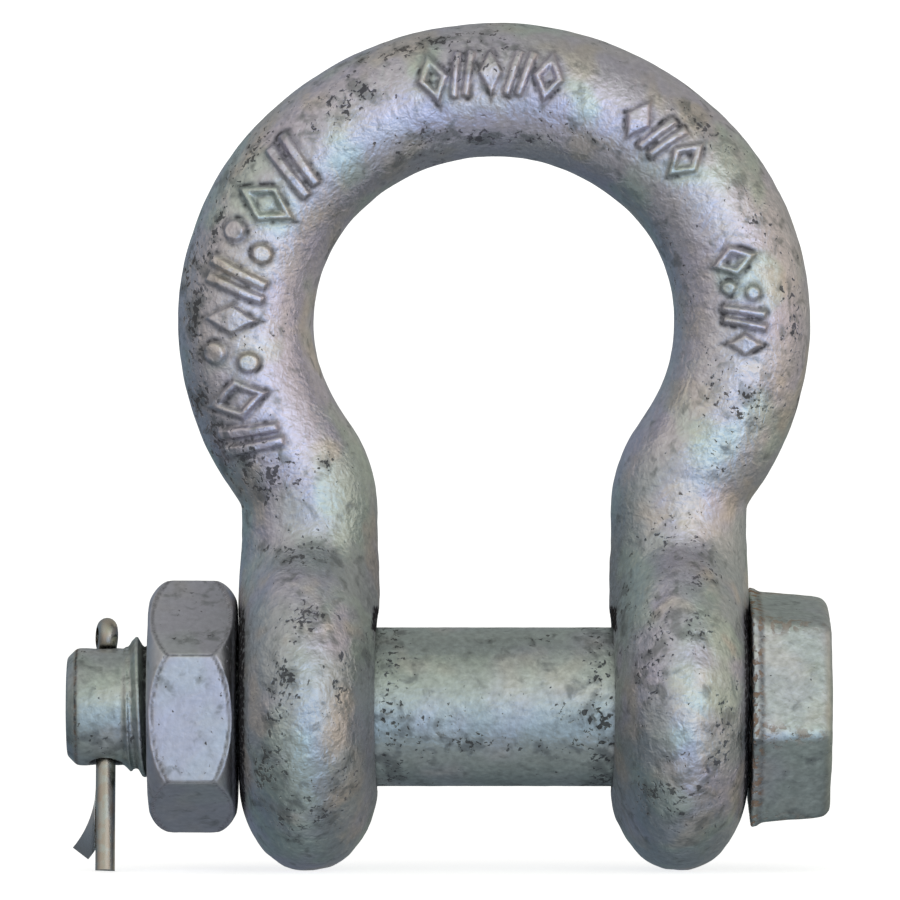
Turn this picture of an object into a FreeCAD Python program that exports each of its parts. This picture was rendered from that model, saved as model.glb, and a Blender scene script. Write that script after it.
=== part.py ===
"""Bow shackle with a safety bolt: forged bow, hexagon-headed bolt, hexagon nut and split pin.

Row frame, millimetres: the origin is on the bolt's axis, midway between the two ears.
+X runs along the bolt towards its head, +Z up to the crown of the bow, and the bow lies in the XZ plane.
"""

import FreeCAD, Part
import math
import os

import Sketcher

App = FreeCAD
V = App.Vector
DOC = App.newDocument("bow_shackle")

# ---------------------------------------------------------------- driving dimensions (mm and degrees)
SIZES = [
    ("bar_diameter", 19.0, "round bar of the bow"),
    ("jaw_width", 32.2, "between the inner faces of the ears"),
    ("ear_thickness", 19.4, "along the bolt"),
    ("ear_radius", 23.8, "outside radius of each eye"),
    ("ear_edge_radius", 9.5, "rounding of the ear's rim, nearly half its thickness"),
    ("ear_flare_radius", 8.0, "hollow between leg and eye"),
    ("ear_leg_half_width", 9.65, "just over the bar's radius, so that the bar ends inside"),
    ("ear_leg_top", 29.0, "where the bar leaves the ear's own forging"),
    ("shoulder_low", 25.2, "the ear's forging narrows into the bar from here"),
    ("shoulder_low_radius", 10.4, ""),
    ("shoulder_top_radius", 9.2, ""),
    ("eye_bore_radius", 12.1, "loose on the bolt, as in all such shackles"),
    ("eye_bore_chamfer", 0.7, "broken edge of the bore"),
    ("bolt_drop", 0.85, "the bolt lies in the bottom of the bores"),
    ("bow_half_width", 34.8, "bar centreline at the widest place"),
    ("bow_wide_height", 53.95, "height of the widest place"),
    ("bow_crown_height", 86.6, "bar centreline at the crown"),
    ("bow_side_radius", 31.35, "bar centreline beside the load"),
    ("neck_slope", 33.7, "lean of the neck from upright, degrees"),
    ("neck_radius", 11.0, "bar centreline where the neck meets the leg"),
    ("bar_foot", 16.0, "lower end of the bar, buried in the ear"),
    ("shank_radius", 11.15, "plain part of the bolt"),
    ("shank_end", 33.8, "from the origin, on the nut's side"),
    ("relief_radius", 8.4, "neck between shank and thread"),
    ("thread_start", 36.9, "from the origin"),
    ("thread_end", 51.9, "from the origin"),
    ("thread_crest_radius", 9.95, "M20 less its zinc allowance"),
    ("thread_root_radius", 8.5, ""),
    ("thread_pitch", 2.5, "coarse series"),
    ("thread_root_flat", 0.31, "an eighth of the pitch"),
    ("stub_radius", 8.25, "turned end that carries the split pin"),
    ("stub_end", 59.85, "from the origin"),
    ("stub_chamfer", 1.4, ""),
    ("cross_hole_radius", 2.2, "drilled for the split pin"),
    ("cross_hole_place", 54.4, "from the origin"),
    ("cross_hole_rounding", 0.4, "worn mouths of that hole"),
    ("bolt_turn", -12.0, "how the bolt lies in the bores, degrees about X"),
    ("head_seat", 35.75, "underside of the head"),
    ("head_flats", 29.6, "across flats at the underside"),
    ("head_flash_over", 0.3, "thin rim left by the forging die, beyond the flats"),
    ("head_flash_height", 1.1, ""),
    ("head_height", 11.2, ""),
    ("head_draft", 4.5, "degrees"),
    ("head_edge_radius", 1.7, ""),
    ("head_turn", 17.0, "upward tilt of the front flat as it lies, degrees"),
    ("nut_seat", 36.0, "inner face of the nut, from the origin"),
    ("nut_flats", 31.0, "across flats"),
    ("nut_height", 12.4, ""),
    ("nut_turn", -4.5, "upward tilt of the front flat as it lies, degrees"),
    ("nut_chamfer_radius", 14.6, "where the chamfer meets each end face"),
    ("nut_chamfer_angle", 42.0, "from the end face, degrees"),
    ("nut_bore_radius", 8.75, "minor radius of the tapped hole"),
    ("thread_lead_in", 1.6, "how far the bolt's groove starts and ends clear of its thread"),
    ("thread_mouth_reach", 0.25, "how far the bolt's groove profile stands proud of the crest"),
    ("nut_mouth_reach", 0.15, "how far the nut's groove profile reaches inside its bore"),
    ("nut_chamfer_reach", 4.5, "how far the chamfer's cut reaches beyond its start, across"),
    ("nut_groove_radius", 10.15, "major radius, tapped oversize for zinc"),
    ("nut_flank_play", 0.12, "axial play on each flank"),
    ("nut_countersink", 10.6, "radius at the faces"),
    ("wire_half_width", 1.38, "half-round wire of the split pin"),
    ("wire_thickness", 1.36, ""),
    ("wire_gap", 0.08, "between the two legs"),
    ("loop_inside_radius", 1.3, "eye of the split pin"),
    ("loop_neck_radius", 1.7, ""),
    ("loop_neck_height", 7.55, "above the bolt's axis"),
    ("leg_end", 23.3, "the straight leg, below the bolt's axis"),
    ("bend_start", 11.2, "the spread leg, below the bolt's axis"),
    ("bend_radius", 13.0, ""),
    ("bend_angle", 46.0, "degrees"),
    ("bend_heading", 40.0, "from straight sideways towards the back, degrees"),
    ("pin_turn", 12.0, "turn of the split pin's loop off the YZ plane, degrees"),
]


def make_sheet():
    """The spreadsheet of driving dimensions: name, value and note, the value cell carrying the alias."""
    sheet = DOC.addObject("Spreadsheet::Sheet", "Dims")
    for row, (name, value, note) in enumerate(SIZES, start=1):
        sheet.set(f"A{row}", name)
        sheet.set(f"B{row}", str(value))
        sheet.set(f"C{row}", note)
        sheet.setAlias(f"B{row}", name)
    DOC.recompute()
    return sheet


SHEET = make_sheet()


def size(name):
    return float(getattr(SHEET, name))


# ---------------------------------------------------------------- helpers
def new_body(label):
    body = DOC.addObject("PartDesign::Body", label)
    body.Label = label
    return body


def origin_plane(body, role):
    return next(f for f in body.Origin.OriginFeatures if f.Role == role)


def new_sketch(body, name, role, height=None):
    """A sketch on one of the body's origin planes, lifted along its normal if height is given."""
    sketch = body.newObject("Sketcher::SketchObject", name)
    sketch.AttachmentSupport = [(origin_plane(body, role), "")]
    sketch.MapMode = "FlatFace"
    if height:
        sketch.setExpression("AttachmentOffset.Base.z", height)
    return sketch


def bind(sketch, index, name, expression):
    """Names a constraint and binds it to the sheet."""
    sketch.renameConstraint(index, name)
    sketch.setExpression(f"Constraints.{name}", expression)


def dimension(sketch, name, expression, *args):
    bind(sketch, sketch.addConstraint(Sketcher.Constraint(*args)), name, expression)


def place_point(sketch, geometry, point, name, x_expr, z_expr, at):
    """Fixes a point by its two coordinates. A coordinate given as None lies on that axis."""
    for axis, expression, value in (("DistanceX", x_expr, at[0]), ("DistanceY", z_expr, at[1])):
        if expression is None:
            line = -2 if axis == "DistanceX" else -1
            sketch.addConstraint(Sketcher.Constraint("PointOnObject", geometry, point, line))
        else:
            signed = f"{name}{axis[-1]}"
            dimension(sketch, signed, expression, axis, -1, 1, geometry, point, value)


def polygon(sketch, points):
    """A closed chain of straight lines. Returns the index of its first line."""
    first = None
    for a, b in zip(points, points[1:] + points[:1]):
        index = sketch.addGeometry(Part.LineSegment(V(*a, 0), V(*b, 0)), False)
        first = index if first is None else first
    count = len(points)
    for i in range(count):
        sketch.addConstraint(Sketcher.Constraint("Coincident", first + i, 2, first + (i + 1) % count, 1))
    return first


def revolved_outline(sketch, corners):
    """A closed profile. Corners are (name, radius expression or None for on the axis, height expression)."""
    sheet_values = {name: value for name, value, _ in SIZES}
    evaluate = lambda text: 0.0 if text is None else eval_sum(text, sheet_values)
    points = [(evaluate(r), evaluate(h)) for _, r, h in corners]
    first = polygon(sketch, points)
    for i, (name, r, h) in enumerate(corners):
        place_point(sketch, first + i, 1, name, r, h, points[i])
    return first


def eval_sum(text, values):
    """The value of a sum of sheet names and numbers, such as '-Dims.stub_end + Dims.stub_chamfer'."""
    total, sign = 0.0, 1.0
    for word in text.replace("-", " - ").replace("+", " + ").split():
        if word in "+-":
            sign = -1.0 if word == "-" else 1.0
            continue
        term = 1.0
        for factor in word.split("*"):
            term *= values[factor[5:]] if factor.startswith("Dims.") else float(factor)
        total += sign * term
        sign = 1.0
    return total


def hexagon(sketch, flats, angle_expression, angle_deg):
    """A regular hexagon about the origin: across flats and the direction of its first corner are bound."""
    corner = size_of(flats) / math.sqrt(3.0)
    ways = [math.radians(angle_deg + 60 * i) for i in range(6)]
    points = [(corner * math.cos(way), corner * math.sin(way)) for way in ways]
    first = polygon(sketch, points)
    circle = sketch.addGeometry(Part.Circle(V(0, 0, 0), V(0, 0, 1), corner), True)
    sketch.addConstraint(Sketcher.Constraint("Coincident", circle, 3, -1, 1))
    for i in range(6):
        sketch.addConstraint(Sketcher.Constraint("PointOnObject", first + i, 1, circle))
    for i in range(1, 6):
        sketch.addConstraint(Sketcher.Constraint("Equal", first, first + i))
    dimension(sketch, "CornerRadius", f"({flats}) / sqrt(3)", "Radius", circle, corner)
    spoke = sketch.addGeometry(Part.LineSegment(V(0, 0, 0), V(*points[0], 0)), True)
    sketch.addConstraint(Sketcher.Constraint("Coincident", spoke, 1, -1, 1))
    sketch.addConstraint(Sketcher.Constraint("Coincident", spoke, 2, first, 1))
    args = ("Angle", -1, 1, spoke, 1, math.radians(angle_deg))
    dimension(sketch, "FirstCorner", angle_expression, *args)


def size_of(expression):
    return eval_sum(expression, {name: value for name, value, _ in SIZES})


def feature(body, kind, name, **settings):
    made = body.newObject(f"PartDesign::{kind}", name)
    for key, value in settings.items():
        setattr(made, key, value)
    return made


def check_cut(cut, before):
    """Stops the build if a cut took nothing away from the body."""
    if cut.Shape.Volume > before.Shape.Volume - 0.01:
        raise SystemExit(f"{cut.Label} cut nothing")


# ---------------------------------------------------------------- the forged bow
def ear_outline(body):
    """Side outline of one ear: the eye's circle, hollows up to the leg, and a flat top inside the bar."""
    sketch = new_sketch(body, "EarOutline", "YZ_Plane", "Dims.jaw_width / 2")
    half, flare, eye = size("ear_leg_half_width"), size("ear_flare_radius"), size("ear_radius")
    lift, top = size("bolt_drop"), size("ear_leg_top")
    rise = math.sqrt((eye + flare) ** 2 - (half + flare) ** 2)
    meet = math.atan2(rise, half + flare)
    hollow_z = lift + rise
    right = Part.Circle(V(half + flare, hollow_z, 0), V(0, 0, 1), flare)
    left = Part.Circle(V(-half - flare, hollow_z, 0), V(0, 0, 1), flare)
    rim = Part.Circle(V(0, lift, 0), V(0, 0, 1), eye)
    cap = sketch.addGeometry(Part.LineSegment(V(-half, top, 0), V(half, top, 0)), False)
    leg_r = sketch.addGeometry(Part.LineSegment(V(half, top, 0), V(half, hollow_z, 0)), False)
    arc_r = sketch.addGeometry(Part.ArcOfCircle(right, math.pi, math.pi + meet), False)
    disc = sketch.addGeometry(Part.ArcOfCircle(rim, math.pi - meet, 2 * math.pi + meet), False)
    arc_l = sketch.addGeometry(Part.ArcOfCircle(left, -meet, 0), False)
    leg_l = sketch.addGeometry(Part.LineSegment(V(-half, hollow_z, 0), V(-half, top, 0)), False)
    for constraint in (
        ("Coincident", cap, 2, leg_r, 1),
        ("Tangent", leg_r, 2, arc_r, 1),
        ("Tangent", arc_r, 2, disc, 2),
        ("Tangent", disc, 1, arc_l, 1),
        ("Tangent", arc_l, 2, leg_l, 1),
        ("Coincident", leg_l, 2, cap, 1),
        ("Vertical", leg_r),
        ("Vertical", leg_l),
        ("Symmetric", cap, 1, cap, 2, -2),
        ("Equal", arc_r, arc_l),
        ("PointOnObject", disc, 3, -2),
    ):
        sketch.addConstraint(Sketcher.Constraint(*constraint))
    dimension(sketch, "EyeHeight", "Dims.bolt_drop", "DistanceY", -1, 1, disc, 3, lift)
    dimension(sketch, "EyeRadius", "Dims.ear_radius", "Radius", disc, eye)
    dimension(sketch, "FlareRadius", "Dims.ear_flare_radius", "Radius", arc_r, flare)
    dimension(sketch, "LegWidth", "2 * Dims.ear_leg_half_width", "DistanceX", cap, 1, cap, 2, 2 * half)
    dimension(sketch, "LegTop", "Dims.ear_leg_top", "DistanceY", -1, 1, cap, 2, top)
    return sketch


def bow_path(body):
    """Half of the bar's centreline, up to the crown: leg, knee, neck, side arc, crown arc."""
    sketch = new_sketch(body, "BowPath", "XZ_Plane")
    leg_x = size("jaw_width") / 2 + size("ear_thickness") / 2
    slope, neck_r = math.radians(size("neck_slope")), size("neck_radius")
    side_r, wide, wide_z = size("bow_side_radius"), size("bow_half_width"), size("bow_wide_height")
    crown_z, foot = size("bow_crown_height"), size("bar_foot")
    side_x = wide - side_r
    rise = crown_z - wide_z
    crown_r = (rise**2 + side_x**2 - side_r**2) / (2 * (rise - side_r))
    crown_c = crown_z - crown_r
    join = math.atan2(wide_z - crown_c, side_x)
    side_end = V(side_x + side_r * math.cos(slope), wide_z - side_r * math.sin(slope), 0)
    neck_dx = side_end.x - leg_x - neck_r * (1 - math.cos(slope))
    neck_end = V(side_end.x - neck_dx, side_end.y - neck_dx / math.tan(slope), 0)
    leg_top = neck_end.y - neck_r * math.sin(slope)
    neck_circle = Part.Circle(V(leg_x + neck_r, leg_top, 0), V(0, 0, 1), neck_r)
    side_circle = Part.Circle(V(side_x, wide_z, 0), V(0, 0, 1), side_r)
    crown_circle = Part.Circle(V(0, crown_c, 0), V(0, 0, 1), crown_r)
    leg = sketch.addGeometry(Part.LineSegment(V(leg_x, foot, 0), V(leg_x, leg_top, 0)), False)
    knee = sketch.addGeometry(Part.ArcOfCircle(neck_circle, math.pi - slope, math.pi), False)
    neck = sketch.addGeometry(Part.LineSegment(neck_end, side_end), False)
    side = sketch.addGeometry(Part.ArcOfCircle(side_circle, -slope, join), False)
    crown = sketch.addGeometry(Part.ArcOfCircle(crown_circle, join, math.pi / 2), False)
    for constraint in (
        ("Vertical", leg),
        ("Tangent", leg, 2, knee, 2),
        ("Tangent", knee, 1, neck, 1),
        ("Tangent", neck, 2, side, 1),
        ("Tangent", side, 2, crown, 1),
        ("PointOnObject", crown, 3, -2),
        ("PointOnObject", crown, 2, -2),
    ):
        sketch.addConstraint(Sketcher.Constraint(*constraint))
    leg_expression = "(Dims.jaw_width + Dims.ear_thickness) / 2"
    place_point(sketch, leg, 1, "Foot", leg_expression, "Dims.bar_foot", (leg_x, foot))
    dimension(sketch, "NeckRadius", "Dims.neck_radius", "Radius", knee, neck_r)
    dimension(sketch, "SideRadius", "Dims.bow_side_radius", "Radius", side, side_r)
    side_expression = "Dims.bow_half_width - Dims.bow_side_radius"
    place_point(sketch, side, 3, "Side", side_expression, "Dims.bow_wide_height", (side_x, wide_z))
    dimension(sketch, "CrownTop", "Dims.bow_crown_height", "DistanceY", -1, 1, crown, 2, crown_z)
    lean = ("Angle", -1, 1, neck, 1, math.pi / 2 - slope)
    dimension(sketch, "NeckSlope", "90 deg - Dims.neck_slope * 1 deg", *lean)
    return sketch


def rim_edges(shape, faces_x):
    """Names of the ear's rim edges: those lying in one of its two end faces, apart from the flat top's."""
    top = size("ear_leg_top")
    names = []
    for number, edge in enumerate(shape.Edges, start=1):
        box = edge.BoundBox
        flat = any(abs(box.XMin - x) < 1e-6 and abs(box.XMax - x) < 1e-6 for x in faces_x)
        if flat and not (abs(box.ZMin - top) < 1e-6 and abs(box.ZMax - top) < 1e-6):
            names.append(f"Edge{number}")
    return names


def bore_rim_edges(shape):
    """Names of the circular edges where the eye bores meet the ear faces."""
    radius = size("eye_bore_radius")
    names = []
    for number, edge in enumerate(shape.Edges, start=1):
        curve = edge.Curve
        round_edge = isinstance(curve, Part.Circle) and abs(curve.Radius - radius) < 1e-4
        if round_edge and abs(abs(curve.Axis.x) - 1) < 1e-6:
            names.append(f"Edge{number}")
    return names


def make_bow():
    body = new_body("bow")
    outline = ear_outline(body)
    ear = feature(body, "Pad", "Ear", Profile=outline)
    ear.setExpression("Length", "Dims.ear_thickness")
    DOC.recompute()
    faces_x = (size("jaw_width") / 2, size("jaw_width") / 2 + size("ear_thickness"))
    rounding = feature(body, "Fillet", "EarRim", Base=(ear, rim_edges(ear.Shape, faces_x)))
    rounding.setExpression("Radius", "Dims.ear_edge_radius")
    DOC.recompute()

    # the top of the ear is turned to a cone that runs into the round bar
    cone = new_sketch(body, "ShoulderProfile", "XZ_Plane")
    leg_x = size("jaw_width") / 2 + size("ear_thickness") / 2
    low, top = size("shoulder_low"), size("ear_leg_top")
    wide, slim = leg_x + size("shoulder_low_radius"), leg_x + size("shoulder_top_radius")
    corners = [
        ("Low", "shoulder_low_radius", "Dims.shoulder_low", (wide, low)),
        ("Out", "shoulder_low_radius", "Dims.ear_leg_top + 1", (wide, top + 1)),
        ("Over", "shoulder_top_radius", "Dims.ear_leg_top + 1", (slim, top + 1)),
        ("Top", "shoulder_top_radius", "Dims.ear_leg_top", (slim, top)),
    ]
    first = polygon(cone, [at for _, _, _, at in corners])
    for i, (name, radius, height, at) in enumerate(corners):
        across = f"(Dims.jaw_width + Dims.ear_thickness) / 2 + Dims.{radius}"
        place_point(cone, first + i, 1, name, across, height, at)
    leg_axis = cone.addGeometry(Part.LineSegment(V(leg_x, low, 0), V(leg_x, top, 0)), True)
    middle = "(Dims.jaw_width + Dims.ear_thickness) / 2"
    place_point(cone, leg_axis, 1, "AxisLow", middle, "Dims.shoulder_low", (leg_x, low))
    place_point(cone, leg_axis, 2, "AxisTop", middle, "Dims.ear_leg_top", (leg_x, top))
    DOC.recompute()
    shoulder = feature(body, "Groove", "Shoulder", Profile=cone, ReferenceAxis=(cone, ["Axis0"]))
    shoulder.Angle = 360
    DOC.recompute()
    check_cut(shoulder, rounding)

    section = new_sketch(body, "BarSection", "XY_Plane", "Dims.bar_foot")
    ring = section.addGeometry(Part.Circle(V(leg_x, 0, 0), V(0, 0, 1), size("bar_diameter") / 2), False)
    place_point(section, ring, 3, "Leg", "(Dims.jaw_width + Dims.ear_thickness) / 2", None, (leg_x, 0))
    dimension(section, "BarRadius", "Dims.bar_diameter / 2", "Radius", ring, size("bar_diameter") / 2)
    path = bow_path(body)
    DOC.recompute()
    bar = feature(body, "AdditivePipe", "Bar", Profile=section, Spine=(path, []))
    DOC.recompute()
    both = feature(body, "Mirrored", "BothSides", MirrorPlane=(origin_plane(body, "YZ_Plane"), [""]))
    both.TransformMode = "Whole shape"
    body.Tip = both
    DOC.recompute()

    bore_sketch = new_sketch(body, "EyeBore", "YZ_Plane")
    circle = Part.Circle(V(0, size("bolt_drop"), 0), V(0, 0, 1), size("eye_bore_radius"))
    hole = bore_sketch.addGeometry(circle, False)
    place_point(bore_sketch, hole, 3, "Bore", None, "Dims.bolt_drop", (0, size("bolt_drop")))
    dimension(bore_sketch, "BoreRadius", "Dims.eye_bore_radius", "Radius", hole, size("eye_bore_radius"))
    bores = feature(body, "Pocket", "EyeBores", Profile=bore_sketch, Type="Length", SideType="Symmetric")
    bores.setExpression("Length", "2 * Dims.jaw_width + 4 * Dims.ear_thickness")
    DOC.recompute()
    check_cut(bores, both)
    edges = bore_rim_edges(bores.Shape)
    broken = feature(body, "Chamfer", "BoreEdges", Base=(bores, edges))
    broken.setExpression("Size", "Dims.eye_bore_chamfer")
    DOC.recompute()
    return body


# ---------------------------------------------------------------- the bolt, modelled along its own +Z
def bolt_placement(along=0.0):
    """Lays a piece modelled along +Z down on the bolt's axis, turned as the bolt is, and moved along X."""
    lie = App.Rotation(V(0, 1, 0), 90)
    turn = App.Rotation(V(1, 0, 0), size("bolt_turn"))
    return App.Placement(V(along, 0, 0), turn.multiply(lie))


def first_corner(front_tilt):
    """Direction of a hexagon's first corner in the piece's own plane, for a front flat with that tilt."""
    return -90.0 + 30.0 - front_tilt + size("bolt_turn") * -1.0


def thread_groove(body, name, corners, height_expression, reverse):
    """A helical V groove about the body's Z axis, from a closed four-cornered section."""
    section = new_sketch(body, f"{name}Section", "XZ_Plane")
    revolved_outline(section, corners)
    DOC.recompute()
    groove = body.newObject("PartDesign::SubtractiveHelix", name)
    groove.Profile = section
    groove.ReferenceAxis = (section, ["V_Axis"])
    groove.Mode = "pitch-height-angle"
    groove.setExpression("Pitch", "Dims.thread_pitch")
    groove.setExpression("Height", height_expression)
    groove.Angle = 0
    groove.LeftHanded = False
    groove.Reversed = reverse
    DOC.recompute()
    return groove


def make_bolt():
    body = new_body("bolt")
    profile = new_sketch(body, "ShankProfile", "XZ_Plane")
    revolved_outline(
        profile,
        [
            ("EndMid", None, "-Dims.stub_end"),
            ("EndRim", "Dims.stub_radius - Dims.stub_chamfer", "-Dims.stub_end"),
            ("StubOut", "Dims.stub_radius", "-Dims.stub_end + Dims.stub_chamfer"),
            ("StubIn", "Dims.stub_radius", "-Dims.thread_end"),
            ("ThreadOut", "Dims.thread_crest_radius",
             "-Dims.thread_end + Dims.thread_crest_radius - Dims.stub_radius"),
            ("ThreadIn", "Dims.thread_crest_radius",
             "-Dims.thread_start - Dims.thread_crest_radius + Dims.relief_radius"),
            ("ReliefOut", "Dims.relief_radius", "-Dims.thread_start"),
            ("ReliefIn", "Dims.relief_radius", "-Dims.shank_end"),
            ("ShankFace", "Dims.shank_radius - Dims.stub_chamfer", "-Dims.shank_end"),
            ("ShankOut", "Dims.shank_radius", "-Dims.shank_end + Dims.stub_chamfer"),
            ("HeadOut", "Dims.shank_radius", "Dims.head_seat + Dims.head_flash_height"),
            ("HeadMid", None, "Dims.head_seat + Dims.head_flash_height"),
        ],
    )
    DOC.recompute()
    shank = feature(body, "Revolution", "Shank", Profile=profile, ReferenceAxis=(profile, ["V_Axis"]))
    shank.Angle = 360
    DOC.recompute()

    corner = first_corner(size("head_turn"))
    corner_expression = "(-60 - Dims.head_turn - Dims.bolt_turn) * 1 deg"
    flash_sketch = new_sketch(body, "FlashHexagon", "XY_Plane", "Dims.head_seat")
    hexagon(flash_sketch, "Dims.head_flats+2*Dims.head_flash_over", corner_expression, corner)
    flash = feature(body, "Pad", "HeadFlash", Profile=flash_sketch)
    flash.setExpression("Length", "Dims.head_flash_height")
    DOC.recompute()
    head_sketch = new_sketch(body, "HeadHexagon", "XY_Plane", "Dims.head_seat + Dims.head_flash_height")
    hexagon(head_sketch, "Dims.head_flats", corner_expression, corner)
    head = feature(body, "Pad", "Head", Profile=head_sketch)
    head.setExpression("Length", "Dims.head_height - Dims.head_flash_height")
    head.setExpression("TaperAngle", "-Dims.head_draft * 1 deg")
    DOC.recompute()
    worn = feature(body, "Fillet", "HeadEdges", Base=(head, head_edges(head.Shape)))
    worn.setExpression("Radius", "Dims.head_edge_radius")
    DOC.recompute()

    hole_sketch = new_sketch(body, "CrossHole", "YZ_Plane")
    ring = hole_sketch.addGeometry(
        Part.Circle(V(0, -size("cross_hole_place"), 0), V(0, 0, 1), size("cross_hole_radius")), False
    )
    place = ("Hole", None, "-Dims.cross_hole_place", (0, -size("cross_hole_place")))
    place_point(hole_sketch, ring, 3, *place)
    dimension(hole_sketch, "HoleRadius", "Dims.cross_hole_radius", "Radius", ring, size("cross_hole_radius"))
    hole = feature(body, "Pocket", "SplitPinHole", Profile=hole_sketch, Type="Length", SideType="Symmetric")
    hole.setExpression("Length", "4 * Dims.stub_radius")
    DOC.recompute()
    check_cut(hole, worn)
    mouth = feature(body, "Fillet", "HoleMouths", Base=(hole, mouth_edges(hole.Shape)))
    mouth.setExpression("Radius", "Dims.cross_hole_rounding")
    DOC.recompute()

    # the groove starts in the relief and runs out past the thread's end, clear of the metal at both
    length = "Dims.thread_end - Dims.thread_start + 2 * Dims.thread_lead_in"
    thread = thread_groove(body, "BoltThread", bolt_groove_corners(), length, True)
    check_cut(thread, mouth)

    body.Placement = bolt_placement()
    return body


def bolt_groove_corners():
    """Corners of the bolt's groove: a sixty-degree V with a flat root, reaching just past the crest."""
    start = "-Dims.thread_start + Dims.thread_lead_in"
    half = size("thread_root_flat") / 2
    mouth = "Dims.thread_crest_radius + Dims.thread_mouth_reach"
    depth = size("thread_crest_radius") + size("thread_mouth_reach") - size("thread_root_radius")
    wide = half + depth * math.tan(math.radians(30))
    return [
        ("RootLow", "Dims.thread_root_radius", f"{start} - {half:.4f}"),
        ("MouthLow", mouth, f"{start} - {wide:.4f}"),
        ("MouthHigh", mouth, f"{start} + {wide:.4f}"),
        ("RootHigh", "Dims.thread_root_radius", f"{start} + {half:.4f}"),
    ]


def mouth_edges(shape):
    """Names of the edges where the split pin's hole comes out of the turned end."""
    place, reach = -size("cross_hole_place"), size("cross_hole_radius") + 0.01
    found = []
    for number, edge in enumerate(shape.Edges, start=1):
        box = edge.BoundBox
        near = abs(box.ZMin - place) < reach and abs(box.ZMax - place) < reach
        if near and box.XLength < 2 * size("cross_hole_radius"):
            found.append(f"Edge{number}")
    return found


def head_edges(shape):
    """Names of the head's six slanting corners and of the six edges round its outer face."""
    low = size("head_seat") + size("head_flash_height")
    high = size("head_seat") + size("head_height")
    found = []
    for number, edge in enumerate(shape.Edges, start=1):
        box = edge.BoundBox
        if abs(box.ZMax - high) < 1e-3 and min(abs(box.ZMin - low), abs(box.ZMin - high)) < 1e-3:
            found.append(f"Edge{number}")
    return found


# ---------------------------------------------------------------- the nut
def make_nut():
    body = new_body("nut")
    corner = first_corner(size("nut_turn"))
    sketch = new_sketch(body, "NutHexagon", "XY_Plane")
    hexagon(sketch, "Dims.nut_flats", "(-60 - Dims.nut_turn - Dims.bolt_turn) * 1 deg", corner)
    block = feature(body, "Pad", "Block", Profile=sketch)
    block.setExpression("Length", "Dims.nut_height")
    DOC.recompute()

    # a corner of each end is turned away, leaving the round-cornered flats of a forged nut
    reach = size("nut_chamfer_reach")
    drop = reach * math.tan(math.radians(size("nut_chamfer_angle")))
    for name, level, way in (("InnerChamfer", "Dims.nut_height", -1), ("OuterChamfer", "0", 1)):
        cut_sketch = new_sketch(body, f"{name}Profile", "XZ_Plane")
        base = size("nut_height") if way < 0 else 0.0
        rim = size("nut_chamfer_radius")
        far_x, over_z = rim + reach, base - way * 1.0
        points = [(rim, base), (far_x, base + way * drop), (far_x, over_z), (rim, over_z)]
        first = polygon(cut_sketch, points)
        height = "Dims.nut_height" if way < 0 else None
        place_point(cut_sketch, first, 1, "Rim", "Dims.nut_chamfer_radius", height, points[0])
        far = "Dims.nut_chamfer_radius + Dims.nut_chamfer_reach"
        fall = "Dims.nut_chamfer_reach * tan(Dims.nut_chamfer_angle * 1 deg)"
        low = f"Dims.nut_height - {fall}" if way < 0 else fall
        place_point(cut_sketch, first + 1, 1, "Foot", far, low, points[1])
        over = "Dims.nut_height + 1" if way < 0 else "-1"
        place_point(cut_sketch, first + 2, 1, "Over", far, over, points[2])
        place_point(cut_sketch, first + 3, 1, "Back", "Dims.nut_chamfer_radius", over, points[3])
        DOC.recompute()
        before = body.Tip
        cut = feature(body, "Groove", name, Profile=cut_sketch, ReferenceAxis=(cut_sketch, ["V_Axis"]))
        cut.Angle = 360
        DOC.recompute()
        check_cut(cut, before)

    bore_sketch = new_sketch(body, "TappingBore", "XZ_Plane")
    lead = "Dims.nut_countersink - Dims.nut_bore_radius"
    upper = "Dims.nut_height - Dims.nut_countersink + Dims.nut_bore_radius"
    revolved_outline(
        bore_sketch,
        [
            ("LowMid", None, "-1"),
            ("LowRim", "Dims.nut_countersink", "-1"),
            ("LowFace", "Dims.nut_countersink", "0"),
            ("LowBore", "Dims.nut_bore_radius", lead),
            ("HighBore", "Dims.nut_bore_radius", upper),
            ("HighFace", "Dims.nut_countersink", "Dims.nut_height"),
            ("HighRim", "Dims.nut_countersink", "Dims.nut_height + 1"),
            ("HighMid", None, "Dims.nut_height + 1"),
        ],
    )
    DOC.recompute()
    axis = (bore_sketch, ["V_Axis"])
    bore = feature(body, "Groove", "TappedBore", Profile=bore_sketch, ReferenceAxis=axis)
    bore.Angle = 360
    DOC.recompute()
    check_cut(bore, cut)
    length = "Dims.nut_height + 2 * Dims.thread_pitch"
    thread = thread_groove(body, "NutThread", nut_groove_corners(), length, False)
    check_cut(thread, bore)
    body.Placement = bolt_placement(-size("nut_seat") - size("nut_height"))
    return body


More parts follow.
